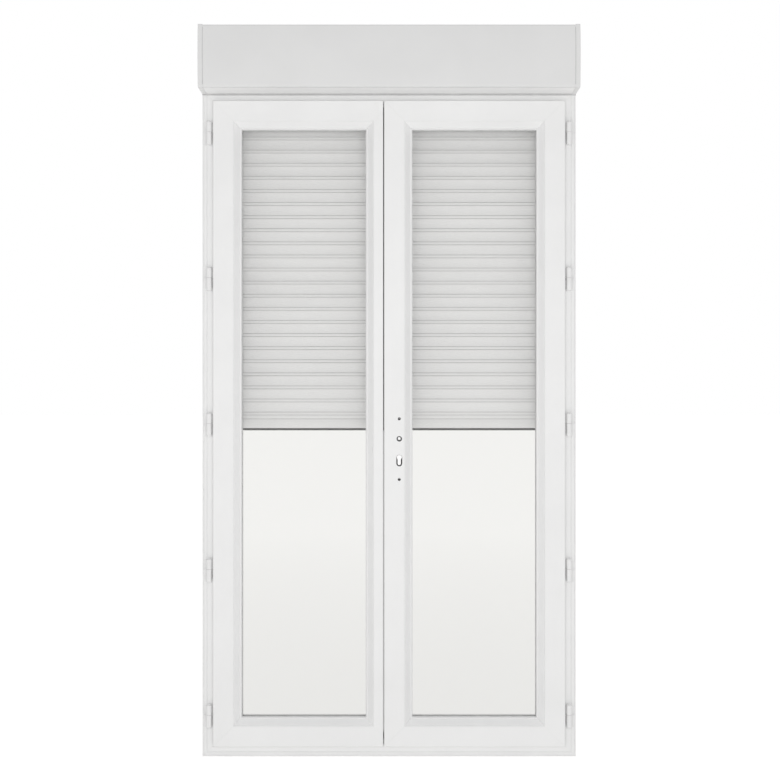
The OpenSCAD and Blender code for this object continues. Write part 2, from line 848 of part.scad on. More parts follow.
// Shutter roll, tube and drive
roll_air = 1;
roll_loose = 4;
end_gap = 30;
tube_over = 8;
plate_t = 3;
slat_core = tube_w / 2 / cos(22.5);
tube_bore = slat_core - tube_wall / cos(22.5);
roll_r = slat_core + roll_turns * slat_t + roll_loose;
roll_y = curtain_y - slat_t / 2 - roll_air - roll_r;
roll_z = (box_low + box_top) / 2 + panel_step;
roll_half = inside_x - end_gap;

// Outline of the wound slats: each is a straight chord on a growing spiral
module roll_outline() {
  chord_n = round(slat_count / roll_turns);
  difference() {
    polygon([for (k = [0 : chord_n - 1])
      (roll_r - slat_t * k / chord_n) * [cos(-360 * k / chord_n), sin(-360 * k / chord_n)]]);
    rotate(22.5) circle(r = slat_core, $fn = 8);
  }
}

module shutter_roll() {
  color(shutter_grey) translate([0, roll_y, roll_z]) run_x(-curtain_half, curtain_half) roll_outline();
}

module winding_tube() {
  color(steel) translate([0, roll_y, roll_z]) run_x(-roll_half - tube_over, roll_half + tube_over)
    rotate(22.5) difference() {
      circle(r = slat_core, $fn = 8);
      circle(r = tube_bore, $fn = 8);
    }
}

idler_pin_r = 6;
boss_r = 18;
boss_len = 12;
bore_floor = 0.5;

module tube_idler() {
  start = -roll_half - tube_over;
  color(pale_grey) translate([0, roll_y, roll_z]) {
    run_x(start, start + idler_len) rotate(22.5) circle(r = tube_bore, $fn = 8);
    bar_x(0, 0, idler_pin_r, -inside_x + plate_t + 1, start + tube_over);
  }
}

module mounting_plate() {
  translate([roll_y - plate_w / 2, roll_z - plate_w / 2]) square(plate_w);
}

// Bearing on the left end cap
module bearing_bracket() {
  face = -inside_x + plate_t;
  color(steel) difference() {
    union() {
      run_x(-inside_x, face) mounting_plate();
      bar_x(roll_y, roll_z, boss_r, face, face + boss_len);
    }
    bar_x(roll_y, roll_z, idler_pin_r + running, face + bore_floor, face + boss_len + 1);
  }
}

shaft_r = 7;
shaft_len = 25;
head_gap = 1;
head_step = 3;

// Motor on the right end cap, reaching into the tube, with its output shaft
module tubular_motor() {
  head = inside_x - roll_half - tube_over - head_gap;
  color(pale_grey) {
    run_x(inside_x - plate_t, inside_x) mounting_plate();
    bar_x(roll_y, roll_z, slat_core - head_step, inside_x - head, inside_x - plate_t);
    bar_x(roll_y, roll_z, motor_r, inside_x - motor_len, inside_x - head + eps);
    bar_x(roll_y, roll_z, shaft_r, inside_x - motor_len - shaft_len, inside_x - motor_len + eps);
  }
}

module motor_drive_wheel() {
  wheel_t = 20;
  x1 = inside_x - motor_len - 2;
  color(black_rubber) difference() {
    translate([0, roll_y, roll_z]) run_x(x1 - wheel_t, x1) rotate(22.5) circle(r = tube_bore, $fn = 8);
    bar_x(roll_y, roll_z, shaft_r + running, x1 - wheel_t - 1, x1 + 1);
  }
}

// Curtain
rail_grip = 24;
curtain_half = frame_w / 2 - rail_w + rail_grip;
slats_low = curtain_z + bar_seal_h + bar_h;
hanging = round((roll_z - slats_low) / slat_h);
slat_lap = 5;
neck_h = 8;
neck_t = 3;
hook_t = 4.4;
hook_h = 3;

// Section of one slat, Y across its thickness and Z up from its lower edge
module slat_section() {
  blade_h = slat_h - slat_lap;
  bow = 1.6;
  bow_r = (pow(blade_h / 2, 2) + bow * bow) / (2 * bow);
  bow_a = asin(blade_h / 2 / bow_r);
  difference() {
    polygon(concat(
      arc([slat_t / 2 - bow_r, blade_h / 2], bow_r, -bow_a, bow_a),
      arc([-slat_t / 2 - bow_r + bow, blade_h / 2], bow_r, bow_a, -bow_a)
    ));
    translate([-hook_t / 2 - free_gap, -1]) square([hook_t + 2 * free_gap, neck_h - 2 + free_gap]);
  }
  translate([-neck_t / 2, blade_h - 1]) square([neck_t, neck_h]);
  translate([-hook_t / 2, blade_h + neck_h - hook_h - 1]) square([hook_t, hook_h]);
}

module shutter_slats() {
  color(shutter_grey) for (i = [0 : hanging - 1])
    translate([0, curtain_y, slats_low + i * slat_h]) run_x(-curtain_half, curtain_half) slat_section();
}

module shutter_bottom_bar() {
  color(shutter_grey) translate([0, curtain_y, slats_low - bar_h]) run_x(-curtain_half, curtain_half) {
    translate([-slat_t / 2, 0]) square([slat_t, bar_h - slat_lap]);
    translate([-neck_t / 2, bar_h - slat_lap - 1]) square([neck_t, neck_h]);
    translate([-hook_t / 2, bar_h - slat_lap - 1 + neck_h - hook_h]) square([hook_t, hook_h]);
  }
}

module shutter_bottom_seal() {
  half = slat_t / 2 - 1;
  color(black_rubber) translate([0, curtain_y, curtain_z]) run_x(-curtain_half, curtain_half)
    polygon(concat([[half, bar_seal_h], [-half, bar_seal_h]], arc([0, half], half, 180, 360)));
}

// Guides
rail_wall = 10;
slot_clear = 1;
brush_t = 0.7;
brush_in = 3;
brush_end = 2;

module guide_rail(s) {
  slot_d = rail_w - rail_wall;
  x0 = s < 0 ? -frame_w / 2 : frame_w / 2 - rail_w;
  color(white_pvc) run_z(0, box_low) difference() {
    translate([x0, frame_back]) square([rail_w, rail_d]);
    translate([s < 0 ? x0 + rail_w - slot_d : x0 - 1, curtain_y - slat_t / 2 - slot_clear])
      square([slot_d + 1, slat_t + 2 * slot_clear]);
  }
}

module left_guide_rail() {
  guide_rail(left);
}

module right_guide_rail() {
  guide_rail(right);
}

module guide_brush_seals() {
  brush_w = 5;
  color(black_rubber) for (s = [left, right], side = [-1, 1])
    run_z(brush_end, box_low - brush_end)
      translate([s * (frame_w / 2 - rail_w + brush_in + brush_w / 2) - brush_w / 2,
        curtain_y + side * (slat_t / 2 + slot_clear - brush_t / 2) - brush_t / 2])
        square([brush_w, brush_t]);
}

frame_jambs();
frame_head_and_sill();
frame_gasket();
left_guide_rail();
right_guide_rail();
guide_brush_seals();
frame_knuckles(left);  // left_frame_knuckles
frame_knuckles(right);  // right_frame_knuckles
hinge_pins(left);  // left_hinge_pins
hinge_pins(right);  // right_hinge_pins
hinge_washers(left);  // left_hinge_washers
hinge_washers(right);  // right_hinge_washers
top_keep_plate();
bottom_keep_plate();
sash_stiles(left);  // left_sash_stiles
sash_rails(left);  // left_sash_rails
side_beads(left);  // left_side_beads
end_beads(left);  // left_end_beads
inner_pane(left);  // left_inner_pane
spacer_bar(left);  // left_spacer_bar
outer_pane(left);  // left_outer_pane
inner_glazing_gasket(left);  // left_inner_glazing_gasket
outer_glazing_gasket(left);  // left_outer_glazing_gasket
sash_gasket(left);  // left_sash_gasket
meeting_seal(left);  // left_meeting_seal
leaf_knuckles(left);  // left_leaf_knuckles
sash_stiles(right);  // right_sash_stiles
sash_rails(right);  // right_sash_rails
side_beads(right);  // right_side_beads
end_beads(right);  // right_end_beads
inner_pane(right);  // right_inner_pane
spacer_bar(right);  // right_spacer_bar
outer_pane(right);  // right_outer_pane
inner_glazing_gasket(right);  // right_inner_glazing_gasket
outer_glazing_gasket(right);  // right_outer_glazing_gasket
sash_gasket(right);  // right_sash_gasket
meeting_seal(right);  // right_meeting_seal
leaf_knuckles(right);  // right_leaf_knuckles
lock_case();
lock_faceplate();
lock_follower();
upper_drive_rod();
lower_drive_rod();
top_flush_bolt();
bottom_flush_bolt();
box_front_panel();
box_top_panel();
box_rear_panel();
box_underside_cover();
box_left_end_cap();
box_right_end_cap();
bearing_bracket();
tube_idler();
winding_tube();
tubular_motor();
motor_drive_wheel();
shutter_roll();
shutter_slats();
shutter_bottom_bar();
shutter_bottom_seal();
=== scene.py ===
import json
import math

import bmesh
import bpy
from mathutils import Matrix, Vector


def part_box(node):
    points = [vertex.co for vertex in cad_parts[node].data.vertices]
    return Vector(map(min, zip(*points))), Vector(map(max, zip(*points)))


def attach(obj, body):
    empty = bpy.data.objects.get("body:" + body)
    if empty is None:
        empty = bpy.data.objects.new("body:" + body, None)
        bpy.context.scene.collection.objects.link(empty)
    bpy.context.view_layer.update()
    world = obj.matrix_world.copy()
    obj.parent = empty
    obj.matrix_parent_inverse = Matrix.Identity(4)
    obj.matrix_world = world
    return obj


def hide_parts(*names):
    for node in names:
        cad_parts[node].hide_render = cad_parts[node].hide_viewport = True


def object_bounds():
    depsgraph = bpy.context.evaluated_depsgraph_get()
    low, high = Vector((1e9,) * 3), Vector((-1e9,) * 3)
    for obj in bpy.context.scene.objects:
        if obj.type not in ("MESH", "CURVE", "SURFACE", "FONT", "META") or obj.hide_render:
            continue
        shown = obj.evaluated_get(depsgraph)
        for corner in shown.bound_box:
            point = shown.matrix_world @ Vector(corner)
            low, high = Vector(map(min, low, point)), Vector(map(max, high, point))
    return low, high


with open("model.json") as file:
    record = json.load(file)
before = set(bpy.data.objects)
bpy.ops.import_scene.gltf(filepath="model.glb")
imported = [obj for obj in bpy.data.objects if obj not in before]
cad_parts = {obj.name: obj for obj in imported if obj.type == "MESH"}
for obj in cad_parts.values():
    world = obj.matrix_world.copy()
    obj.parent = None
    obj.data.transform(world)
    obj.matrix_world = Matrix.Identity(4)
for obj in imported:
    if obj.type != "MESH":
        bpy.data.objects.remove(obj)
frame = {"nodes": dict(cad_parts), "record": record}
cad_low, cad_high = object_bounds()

MM = 0.001
WHITE = (1, 1, 1, 1)

# Camera: level, in front of the room face
CAMERA_PLACE = Vector((2.9, -4515, 1183)) * MM
CAMERA_LENS_MM = 64.5
CAMERA_SENSOR_MM = 36

# Light: an even surround, soft lamps in front and overhead, and a level sun from outdoors
SURROUND_LEVEL = 0.56
LAMPS = {
    "front_lamp": {
        "place": (0.0, -3.2, 1.3), "target": (0.0, 0.0, 1.3), "size": (2.6, 2.0), "watts": 29,
    },
    "sky_lamp": {
        "place": (0.0, 0.0, 5.0), "target": (0.0, 0.0, 0.0), "size": (4.0, 4.0), "watts": 25,
    },
}
SUN_PLACE = (0, 4, 1)
SUN_TARGET = (0, 0, 1)
SUN_STRENGTH = 0.8
SUN_SOFT_DEG = 25

# Floor: pale, and glowing a little like a light table
FLOOR_HALF = 60.0
FLOOR_CELLS = 4
FLOOR_DROP = 0.5 * MM
FLOOR_TONES = (0.80, 0.82)
FLOOR_TINT = (0.01, 0.004, -0.01)
FLOOR_WAVES = 3.0
FLOOR_ROUGHNESS = 0.9
# Glow that lights the door, and glow that the camera sees at two distances from the door
FLOOR_GLOW = 0.34
FLOOR_WHITE = ((1.2, 0.50), (3.5, 0.58))
# Tone of the floor where it shows in gloss or through glass, at two distances from the door; darker
# near the door, as a painted shadow of the door on the floor behind it
FLOOR_SEEN_PAINTED_SHADOW = ((0.8, 0.87), (7.0, 0.955))
FLOOR_SEEN_COLOUR = (1, 1, 0.99, 1)

# Finishes: the part of its range that noise mostly fills, the grain and the softened edges
NOISE_RANGE = (0.3, 0.7)
RAMP_STOPS = (0.35, 0.65)
DRIFT_DETAIL = 3.0
GRAIN_DETAIL = 2.0
GRAIN_STRENGTH = 0.35
GRAIN_DEPTH = 0.02 * MM
EDGE_SAMPLES = 4
PVC_EDGE = 1.2 * MM
METAL_EDGE = 0.6 * MM
GLASS_COLOUR = (0.965, 0.963, 0.957, 1)
GLASS_PASSED = (0.98, 0.98, 0.98, 1)
GLASS_IOR = 1.5

# Nodes with a finish of their own: the box's long panels and end caps take a greyer copy of the
# white PVC, which paints shade on the box, and the glazing gaskets are paler than the other seals
OWN_FINISHES = {
    "box_front_panel": "box_pvc_painted_shade",
    "box_top_panel": "box_pvc_painted_shade",
    "box_rear_panel": "box_pvc_painted_shade",
    "box_left_end_cap": "box_pvc_painted_shade",
    "box_right_end_cap": "box_pvc_painted_shade",
    "left_inner_glazing_gasket": "glazing_gasket",
    "left_outer_glazing_gasket": "glazing_gasket",
    "right_inner_glazing_gasket": "glazing_gasket",
    "right_outer_glazing_gasket": "glazing_gasket",
}

# Curtain: a rib between two grooves at each joint, from the foot up, and bowed slats
SLAT_PITCH = 43 * MM
SLAT_BOW = 2.0 * MM
SLAT_STEPS = 10
FIRST_JOINT = 20.6 * MM
JOINT_HALF = 5.8 * MM
JOINT_GROOVE = 2.0 * MM
JOINT_DEPTH = 3.4 * MM
JOINT_SET_BACK = 0.3 * MM
JOINT_TOLERANCE = 0.1 * MM
BAR_JOINT = 2.2 * MM
CURTAIN_FOOT = 3.5 * MM
# Lip under the curtain's seal: its section in shares of the seal's half depth and of the drop
LIP_DROP = 2.4 * MM
LIP_SECTION = ((-0.9, 0.4), (-0.8, -1), (0.5, -1), (0.9, 0.4))

# Dark liners in the holes for the handle, painted shade inside the holes: the height of each above
# the lock's follower, its depth, and its outside and inside as the radius and height of the upper
# and of the lower round end
HANDLE_HOLE_SHADE_LINERS = [
    {"rise": rise * MM, "depth": depth * MM, "outside": outside, "inside": inside}
    for rise, depth, outside, inside in (
        (64.5, 69, ((4.6, 0), (4.6, 0)), ((2.9, 0), (2.9, 0))),
        (0, 26, ((8.5, 0), (8.5, 0)), ((5.7, 0), (5.7, 0))),
        (-70, 26, ((9.3, 9), (9.3, -9)), ((8.6, 9), (5.2, -11.5))),
        (-130.5, 69, ((4.6, 0), (4.6, 0)), ((2.9, 0), (2.9, 0))),
    )
]
SHADE_LINER_SET_BACK = 0.2 * MM
SHADE_LINER_STEPS = 16
MERGE_DISTANCE = 0.001 * MM

# Dark strip under the box, painted shade in the gap between the box and the frame: its section in
# shares of the rise off the frame and of the height
SHADE_LINE_HEIGHT = 4.4 * MM
SHADE_LINE_RISE = 2.0 * MM
SHADE_LINE_SECTION = ((0, 0), (1, 0), (1, 0.6), (0.5, 1), (0, 1))

# Dark lines at the joints of the box, painted shade in the joints; the margin is a share of the
# panel's height
SEAM_WIDTH = 1.8 * MM
SEAM_RISE = 0.15 * MM
SEAM_STEPS = 24
SEAM_MARGIN = 0.002
TOP_SEAM = 3.0 * MM

# Dark strips in the gaps beside the leaf's knuckles: painted shade in the gaps
HINGE_COUNT = 5
SLIT_WIDTH = 4.4 * MM
SLIT_RISE = 0.3 * MM
SLIT_LENGTH = 30 * MM
SLIT_MARGIN = 0.5 * MM

# Screws of the faceplate: the profile of a head in shares of its radius and rise
SCREW_COUNT = 9
SCREW_END = 40 * MM
SCREW_RADIUS = 3.2 * MM
SCREW_RISE = 1.0 * MM
SCREW_SIDES = 20
SCREW_PROFILE = ((0, 0.4), (0.4, 0.4), (0.4, 1), (0.75, 1), (1, 0.45), (1, 0), (0, 0))


# Materials

def new_material(name):
    """A node material with a Principled shader, and handles to build on."""
    mat = bpy.data.materials.new(name)
    mat.use_nodes = True
    shader = mat.node_tree.nodes["Principled BSDF"]
    return mat, mat.node_tree, shader


def object_points(tree, stretch=(1, 1, 1)):
    """Object coordinates in metres, stretched per axis."""
    coords = tree.nodes.new("ShaderNodeTexCoord")
    mapping = tree.nodes.new("ShaderNodeMapping")
    mapping.inputs["Scale"].default_value = stretch
    tree.links.new(coords.outputs["Object"], mapping.inputs["Vector"])
    return mapping.outputs["Vector"]


def noise(tree, points, scale, detail=DRIFT_DETAIL):
    """Grey noise over the given points; scale is waves per metre."""
    node = tree.nodes.new("ShaderNodeTexNoise")
    node.inputs["Scale"].default_value = scale
    node.inputs["Detail"].default_value = detail
    tree.links.new(points, node.inputs["Vector"])
    return node.outputs["Fac"]


def ramp(tree, value, low, high):
    """A colour ramp between two colours."""
    node = tree.nodes.new("ShaderNodeValToRGB")
    for stop, place, colour in zip(node.color_ramp.elements, RAMP_STOPS, (low, high)):
        stop.position = place
        stop.color = (*colour, 1)
    tree.links.new(value, node.inputs["Fac"])
    return node.outputs["Color"]


def map_range(tree, value, source, target):
    """Maps a value from one (low, high) range onto another."""
    node = tree.nodes.new("ShaderNodeMapRange")
    for end, start, result in zip(("Min", "Max"), source, target):
        node.inputs["From " + end].default_value = start
        node.inputs["To " + end].default_value = result
    tree.links.new(value, node.inputs["Value"])
    return node.outputs["Result"]


def bump(tree, value, shader, soften):
    """A fine grain from a height value, over edges softened by a small radius."""
    node = tree.nodes.new("ShaderNodeBump")
    node.inputs["Strength"].default_value = GRAIN_STRENGTH
    node.inputs["Distance"].default_value = GRAIN_DEPTH
    tree.links.new(value, node.inputs["Height"])
    if soften > 0:
        bevel = tree.nodes.new("ShaderNodeBevel")
        bevel.samples = EDGE_SAMPLES
        bevel.inputs["Radius"].default_value = soften
        tree.links.new(bevel.outputs["Normal"], node.inputs["Normal"])
    tree.links.new(node.outputs["Normal"], shader.inputs["Normal"])


def ray_of(tree, *kinds):
    """1 for rays of any of the given kinds."""
    path = tree.nodes.new("ShaderNodeLightPath")
    total = path.outputs[kinds[0]]
    for kind in kinds[1:]:
        either = tree.nodes.new("ShaderNodeMath")
        either.operation = "MAXIMUM"
        tree.links.new(total, either.inputs[0])
        tree.links.new(path.outputs[kind], either.inputs[1])
        total = either.outputs["Value"]
    return total


def mix_surface(tree, factor, first, second, output="Material Output"):
    """Shows the first shader where the factor is 0 and the second where it is 1."""
    mix = tree.nodes.new("ShaderNodeMixShader")
    tree.links.new(factor, mix.inputs["Fac"])
    tree.links.new(first, mix.inputs[1])
    tree.links.new(second, mix.inputs[2])
    tree.links.new(mix.outputs["Shader"], tree.nodes[output].inputs["Surface"])


def surface(name, low, high, rough, grain, stretch=(1, 1, 1), soften=0.0, metallic=0.0):
    """A material with slow colour drift, varied gloss and a fine surface grain."""
    mat, tree, shader = new_material(name)
    points = object_points(tree, stretch)
    drift = noise(tree, points, grain[0])
    fine = noise(tree, points, grain[1], GRAIN_DETAIL)
    tree.links.new(ramp(tree, drift, low, high), shader.inputs["Base Color"])
    tree.links.new(map_range(tree, fine, NOISE_RANGE, rough), shader.inputs["Roughness"])
    shader.inputs["Metallic"].default_value = metallic
    bump(tree, fine, shader, soften)
    return mat


def glass_material(name):
    """Clear float glass; lamps and soft light pass through it unbent."""
    mat, tree, shader = new_material(name)
    shader.inputs["Base Color"].default_value = GLASS_COLOUR
    shader.inputs["Roughness"].default_value = 0.0
    shader.inputs["IOR"].default_value = GLASS_IOR
    shader.inputs["Transmission Weight"].default_value = 1.0
    clear = tree.nodes.new("ShaderNodeBsdfTransparent")
    clear.inputs["Color"].default_value = GLASS_PASSED
    light = ray_of(tree, "Is Shadow Ray", "Is Diffuse Ray")
    mix_surface(tree, light, shader.outputs["BSDF"], clear.outputs["BSDF"])
    return mat


def grey(level, tint=(0, 0, 0)):
    """A grey colour with a slight tint."""
    return tuple(level + t for t in tint)


SLAT_TINT = (-0.002, 0, 0.002)
SLAT_STRETCH = (0.1, 1, 1)
# The two tones that the colour drifts between, the range of roughness, and the waves per
# metre of the drift and of the grain
FINISHES = {
    "white_pvc": {
        "low": grey(0.835), "high": grey(0.855), "rough": (0.30, 0.42), "grain": (6, 700),
        "soften": PVC_EDGE,
    },
    # The white PVC made greyer for the box: painted shade
    "box_pvc_painted_shade": {
        "low": grey(0.715), "high": grey(0.735), "rough": (0.34, 0.46), "grain": (6, 700),
        "soften": PVC_EDGE,
    },
    "white_metal": {
        "low": grey(0.80), "high": grey(0.83), "rough": (0.35, 0.5), "grain": (20, 1500),
        "soften": METAL_EDGE,
    },
    "spacer_aluminium": {
        "low": grey(0.42), "high": grey(0.5), "rough": (0.35, 0.5), "grain": (30, 900),
        "metallic": 1.0,
    },
    "grey_gasket": {
        "low": grey(0.50), "high": grey(0.56), "rough": (0.6, 0.8), "grain": (40, 1200),
    },
    "glazing_gasket": {
        "low": grey(0.74), "high": grey(0.80), "rough": (0.6, 0.8), "grain": (40, 1200),
    },
    "black_rubber": {
        "low": grey(0.022), "high": grey(0.035), "rough": (0.5, 0.75), "grain": (60, 1400),
    },
    "zinc_steel": {
        "low": grey(0.52), "high": grey(0.62, (0, 0, 0.01)), "rough": (0.25, 0.42),
        "grain": (25, 500), "stretch": (1, 1, 0.08), "metallic": 1.0,
    },
    "grey_plastic": {
        "low": grey(0.55), "high": grey(0.6), "rough": (0.4, 0.55), "grain": (30, 1200),
    },
    "motor_metal": {
        "low": grey(0.4), "high": grey(0.46), "rough": (0.3, 0.45), "grain": (30, 900),
        "metallic": 0.8,
    },
    "shutter_pvc": {
        "low": grey(0.85, SLAT_TINT), "high": grey(0.88, SLAT_TINT), "rough": (0.4, 0.55),
        "grain": (8, 900), "stretch": SLAT_STRETCH,
    },
    # A darker grey for the floors of the slats' grooves: painted shade in the grooves
    "shutter_groove_painted_shade": {
        "low": grey(0.56), "high": grey(0.62), "rough": (0.6, 0.75), "grain": (20, 900),
        "stretch": SLAT_STRETCH,
    },
}


def make_materials():
    """The finish of each slot of the record, and the finishes that only the scene has."""
    materials = {name: surface(name, **values) for name, values in FINISHES.items()}
    materials["glass"] = glass_material("glass")
    return materials


def dress_nodes(materials):
    """Gives every CAD node its own finish, or that of its slot."""
    for entry in frame["record"]["subparts"]:
        mesh = frame["nodes"][entry["node"]].data
        finish = OWN_FINISHES.get(entry["node"], entry["material_slot"])
        mesh.materials.clear()
        mesh.materials.append(materials[finish])


# Fine surface pieces

def add_piece(name, bm, body, slot, materials):
    """Turns a bmesh into a piece that rides on a body."""
    bmesh.ops.recalc_face_normals(bm, faces=bm.faces)
    mesh = bpy.data.meshes.new(name)
    bm.to_mesh(mesh)
    bm.free()
    mesh.materials.append(materials[slot])
    obj = bpy.data.objects.new(name, mesh)
    bpy.context.scene.collection.objects.link(obj)
    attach(obj, body)
    return obj


def join_rows(bm, low, high):
    """Faces between two closed rows of vertices; a row of one vertex is a point."""
    count = max(len(low), len(high))
    for k in range(count):
        j = (k + 1) % count
        if len(low) == 1:
            bm.faces.new((low[0], high[k], high[j]))
        elif len(high) == 1:
            bm.faces.new((low[k], low[j], high[0]))
        else:
            bm.faces.new((low[k], low[j], high[j], high[k]))


def add_solid(bm, rows):
    """A solid through rows of vertices, closed at both ends."""
    for low, high in zip(rows, rows[1:]):
        join_rows(bm, low, high)
    bm.faces.new(rows[0])
    bm.faces.new(list(reversed(rows[-1])))


def along_x(y, z, x):
    """Places a point of a section in Y and Z."""
    return x, y, z


def along_z(x, y, z):
    """Places a point of a section in X and Y."""
    return x, y, z


def add_bar(bm, section, start, end, place=along_x):
    """A closed bar with the given section from start to end."""
    rows = [[bm.verts.new(place(*point, at)) for point in section] for at in (start, end)]
    add_solid(bm, rows)


def face_at(obj, x, start_y, z):
    """Y of the face that a ray along +Y meets first, or None where it meets none."""
    found, spot = obj.ray_cast((x, start_y, z), (0, 1, 0))[:2]
    return spot.y if found else None


def slot_outline(ends):
    """Points in X and Z round a slot with an upper and a lower round end."""
    (top, top_z), (low, low_z) = [(radius * MM, z * MM) for radius, z in ends]
    tuck = math.acos(min(1.0, low / top))
    arcs = ((top, top_z, -tuck, math.pi + tuck), (low, low_z, math.pi, 2 * math.pi))
    points = []
    for radius, z, first, last in arcs:
        for k in range(SHADE_LINER_STEPS + 1):
            angle = first + (last - first) * k / SHADE_LINER_STEPS
            points.append((radius * math.cos(angle), z + radius * math.sin(angle)))
    return points


def add_handle_hole_painted_shade(materials):
    """Dark liners in the holes for the handle: painted shade inside the holes."""
    hub_low, hub_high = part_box("lock_follower")
    middle = (hub_low + hub_high) / 2
    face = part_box("right_sash_stiles")[0].y + SHADE_LINER_SET_BACK
    bm = bmesh.new()
    for liner in HANDLE_HOLE_SHADE_LINERS:
        back = face + liner["depth"]
        rows = []
        for side, y in (("outside", face), ("inside", face), ("inside", back), ("outside", back)):
            rows.append([bm.verts.new((middle.x + x, y, middle.z + liner["rise"] + z))
                         for x, z in slot_outline(liner[side])])
        for low, high in zip(rows, rows[1:] + rows[:1]):
            join_rows(bm, low, high)
    bmesh.ops.remove_doubles(bm, verts=bm.verts, dist=MERGE_DISTANCE)
    # Black liners as painted shade inside the holes
    add_piece("handle_hole_painted_shade", bm, "right_leaf", "black_rubber", materials)


def add_cap_painted_shade(materials):
    """Dark lines on the box's front that paint the shade at its joints: down both ends, at the end
    caps, and along the top.
    """
    panel = frame["nodes"]["box_front_panel"]
    low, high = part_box("box_front_panel")
    ahead = low.y - SEAM_WIDTH
    bm = bmesh.new()
    for edge, into in ((low.x, 1), (high.x, -1)):
        inner = edge + into * SEAM_WIDTH
        rows = []
        for k in range(SEAM_STEPS + 1):
            share = SEAM_MARGIN + (1 - 2 * SEAM_MARGIN) * k / SEAM_STEPS
            z = low.z + (high.z - low.z) * share
            face = face_at(panel, inner, ahead, z)
            if face is not None:
                corners = ((edge, face + SEAM_RISE), (edge, face - SEAM_RISE),
                           (inner, face - SEAM_RISE), (inner, face + SEAM_RISE))
                rows.append([bm.verts.new((x, y, z)) for x, y in corners])
        add_solid(bm, rows)
    foot = high.z - TOP_SEAM
    under = face_at(panel, 0, ahead, foot)
    over = face_at(panel, 0, ahead, high.z - SEAM_RISE)
    section = [(under, foot), (under - SEAM_RISE, foot), (over - SEAM_RISE, high.z), (over, high.z)]
    add_bar(bm, section, low.x + SEAM_WIDTH, high.x - SEAM_WIDTH)
    add_piece("box_cap_painted_shade", bm, "frame", "grey_gasket", materials)


def add_hinge_painted_shade(side, out, materials):
    """Dark strips, painted shade in the gap between the leaf's knuckles and its edge; out is the
    way to the jamb.
    """
    knuckles = frame["nodes"][f"{side}_leaf_knuckles"]
    low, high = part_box(f"{side}_leaf_knuckles")
    sash_low, sash_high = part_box(f"{side}_sash_stiles")
    edge = sash_low.x if out < 0 else sash_high.x
    near, far = edge + out * SLIT_MARGIN, edge + out * (SLIT_MARGIN + SLIT_WIDTH)
    middle = edge + out * SLIT_WIDTH / 2
    pitch = (high.z - low.z - SLIT_LENGTH - 2 * SLIT_MARGIN) / (HINGE_COUNT - 1)
    bm = bmesh.new()
    for k in range(HINGE_COUNT):
        z = low.z + SLIT_MARGIN + k * pitch
        face = face_at(knuckles, middle, low.y - SLIT_WIDTH, z + SLIT_LENGTH / 2)
        section = [(near, face), (near + out * SLIT_RISE, face - SLIT_RISE),
                   (far - out * SLIT_RISE, face - SLIT_RISE), (far, face)]
        add_bar(bm, section, z, z + SLIT_LENGTH, along_z)
    add_piece(f"{side}_hinge_painted_shade", bm, f"{side}_leaf", "grey_gasket", materials)


def add_seal_lip(materials):
    """The soft lip along the foot of the curtain's seal."""
    low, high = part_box("shutter_bottom_seal")
    middle = (low.y + high.y) / 2
    half = (high.y - low.y) / 2
    section = [(middle + half * out, low.z + LIP_DROP * up) for out, up in LIP_SECTION]
    bm = bmesh.new()
    add_bar(bm, section, low.x, high.x)
    add_piece("curtain_seal_lip", bm, "curtain", "black_rubber", materials)


def add_box_painted_shade_line(materials):
    """A dark strip in the corner between the frame's face and the box's underside: painted shade in
    the gap there.
    """
    low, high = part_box("frame_head_and_sill")
    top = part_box("box_underside_cover")[0].z
    section = [(low.y - SHADE_LINE_RISE * out, top - SHADE_LINE_HEIGHT * down) for out, down in SHADE_LINE_SECTION]
    bm = bmesh.new()
    add_bar(bm, section, low.x, high.x)
    add_piece("box_painted_shade_line", bm, "frame", "grey_gasket", materials)


def add_screw(bm, place, axis):
    """A pan head with a round socket, turned about axis."""
    turn = Vector((0, 0, 1)).rotation_difference(axis).to_matrix().to_4x4()
    seat = Matrix.Translation(place) @ turn
    angles = [2 * math.pi * k / SCREW_SIDES for k in range(SCREW_SIDES)]
    rings = []
    for out, up in SCREW_PROFILE:
        r, h = SCREW_RADIUS * out, SCREW_RISE * up
        spots = [(r * math.cos(a), r * math.sin(a), h) for a in angles] if r > 0 else [(0, 0, h)]
        rings.append([bm.verts.new(seat @ Vector(spot)) for spot in spots])
    for low, high in zip(rings, rings[1:]):
        join_rows(bm, low, high)


def add_faceplate_screws(materials):
    """Screws in one row down the lock's faceplate."""
    low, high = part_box("lock_faceplate")
    middle = (low.y + high.y) / 2
    bm = bmesh.new()
    for k in range(SCREW_COUNT):
        z = low.z + SCREW_END + (high.z - low.z - 2 * SCREW_END) * k / (SCREW_COUNT - 1)
        add_screw(bm, Vector((low.x, middle, z)), Vector((-1, 0, 0)))
    add_piece("faceplate_screws", bm, "right_leaf", "zinc_steel", materials)


def bowed_face(face, z0, z1):
    """Points up a slat's face between two heights, bowed towards +Y, without its ends."""
    points = []
    for k in range(1, SLAT_STEPS):
        t = k / SLAT_STEPS
        points.append((face + SLAT_BOW * (1 - (2 * t - 1) ** 2), z0 + (z1 - z0) * t))
    return points


